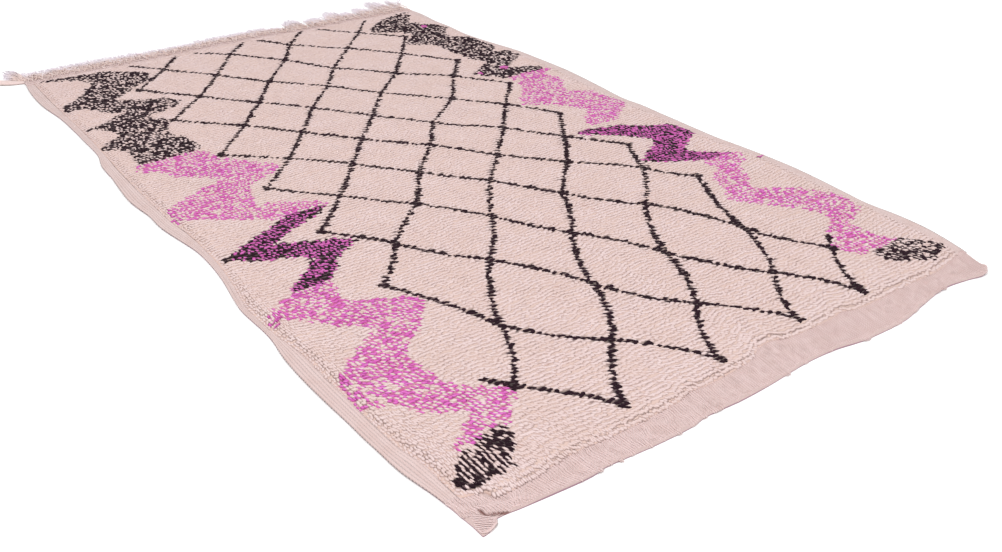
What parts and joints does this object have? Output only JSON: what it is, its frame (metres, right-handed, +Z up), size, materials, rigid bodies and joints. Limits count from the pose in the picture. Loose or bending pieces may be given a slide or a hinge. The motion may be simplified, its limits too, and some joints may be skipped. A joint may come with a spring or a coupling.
{
  "type": "azilal rug",
  "caption": "Flat hand-knotted wool rug with short pile, a diamond lattice, zigzag side bands, flat woven borders and a fringe at one end.",
  "frame": {"origin": "centre of the bounding box at floor level", "axes": "+Z up out of the pile, +Y along the rug towards its fringed end, +X across its width"},
  "size_m": [1.6742, 2.7912, 0.016],
  "materials": {
    "cream_wool": "matt, undyed cream wool",
    "charcoal_wool": "matt, natural dark wool",
    "pink_wool": "matt, pink dyed wool",
    "magenta_wool": "matt, magenta dyed wool"
  },
  "bodies": {
    "root": {"woven_rug": "cream_wool", "far_fringe": "cream_wool", "left_corner_tail": "cream_wool", "left_corner_bunch": "cream_wool"}
  },
  "joints": []
}
